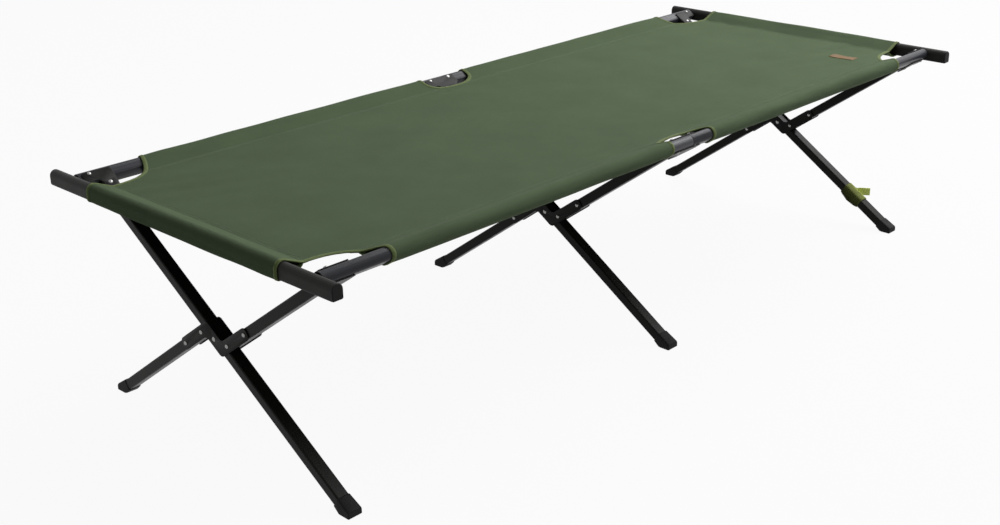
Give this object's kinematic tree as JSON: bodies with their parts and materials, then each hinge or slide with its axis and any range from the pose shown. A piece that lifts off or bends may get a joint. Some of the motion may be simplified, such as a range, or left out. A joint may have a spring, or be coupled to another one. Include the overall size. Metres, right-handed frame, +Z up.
{
  "type": "folding camping cot",
  "caption": "Folding camping cot: taut canvas deck on side rails, crossed scissor legs with cranked plates, rubber boots and pull-off end bars.",
  "frame": {"origin": "on the floor under the centre of the cot", "axes": "+X along the cot towards the end with the label, +Y across it towards the left rail, +Z up"},
  "size_m": [1.9034, 0.808, 0.4597],
  "materials": {
    "rail_enamel": "satin near-black enamel with a slight blue cast",
    "leg_enamel": "satin black enamel",
    "plate_enamel": "satin black enamel on pressed plate",
    "rivet_steel": "bright zinc-plated steel",
    "cap_plastic": "black moulded plastic",
    "boot_rubber": "dull black rubber",
    "olive_canvas": "olive-green woven polyester canvas",
    "brown_patch": "bare brown leather-like patch",
    "lime_webbing": "yellow-green woven webbing"
  },
  "bodies": {
    "left_frame": {"near_left_rail": "rail_enamel", "near_left_rail_plug": "cap_plastic", "far_left_rail": "rail_enamel", "far_left_rail_plug": "cap_plastic", "left_rail_fold_pin": "rivet_steel", "near_left_leg_bracket": "plate_enamel", "near_left_hinge_rivet": "rivet_steel", "middle_left_leg_bracket": "plate_enamel", "middle_left_hinge_rivet": "rivet_steel", "far_left_leg_bracket": "plate_enamel", "far_left_hinge_rivet": "rivet_steel", "near_straight_leg": "leg_enamel", "near_straight_leg_boot": "boot_rubber", "near_pivot_rivet": "rivet_steel", "middle_straight_leg": "leg_enamel", "middle_straight_leg_boot": "boot_rubber", "middle_pivot_rivet": "rivet_steel", "far_straight_leg": "leg_enamel", "far_straight_leg_boot": "boot_rubber", "far_pivot_rivet": "rivet_steel", "deck": "olive_canvas", "label_patch": "brown_patch", "storage_strap": "lime_webbing"},
    "right_frame": {"near_right_rail": "rail_enamel", "near_right_rail_plug": "cap_plastic", "far_right_rail": "rail_enamel", "far_right_rail_plug": "cap_plastic", "right_rail_fold_pin": "rivet_steel", "near_right_leg_bracket": "plate_enamel", "near_right_hinge_rivet": "rivet_steel", "middle_right_leg_bracket": "plate_enamel", "middle_right_hinge_rivet": "rivet_steel", "far_right_leg_bracket": "plate_enamel", "far_right_hinge_rivet": "rivet_steel", "near_split_leg_top": "leg_enamel", "near_split_leg_foot": "leg_enamel", "near_split_leg_boot": "boot_rubber", "near_front_crank_plate": "plate_enamel", "near_back_crank_plate": "plate_enamel", "middle_split_leg_top": "leg_enamel", "middle_split_leg_foot": "leg_enamel", "middle_split_leg_boot": "boot_rubber", "middle_front_crank_plate": "plate_enamel", "middle_back_crank_plate": "plate_enamel", "far_split_leg_top": "leg_enamel", "far_split_leg_foot": "leg_enamel", "far_split_leg_boot": "boot_rubber", "far_front_crank_plate": "plate_enamel", "far_back_crank_plate": "plate_enamel"},
    "near_bar": {"near_end_bar": "rail_enamel", "near_left_end_cap": "cap_plastic", "near_right_end_cap": "cap_plastic"},
    "far_bar": {"far_end_bar": "rail_enamel", "far_left_end_cap": "cap_plastic", "far_right_end_cap": "cap_plastic"}
  },
  "joints": [
    {"name": "scissor_fold", "type": "hinge", "parent": "left_frame", "child": "right_frame", "pos_m": [0, 0.005, 0.2215], "axis": [-1, 0, 0], "range_deg": [0, 108], "deforming": ["deck", "label_patch"]},
    {"name": "near_end_bar_off", "type": "slide", "parent": "left_frame", "child": "near_bar", "axis": [-1, 0, 0], "range_m": [0, 0.115]},
    {"name": "far_end_bar_off", "type": "slide", "parent": "left_frame", "child": "far_bar", "axis": [1, 0, 0], "range_m": [0, 0.115]}
  ],
  "couplings": [
    {"joint": "near_end_bar_off", "follows": "scissor_fold", "m_per_rad": 0.06},
    {"joint": "far_end_bar_off", "follows": "scissor_fold", "m_per_rad": 0.06}
  ]
}
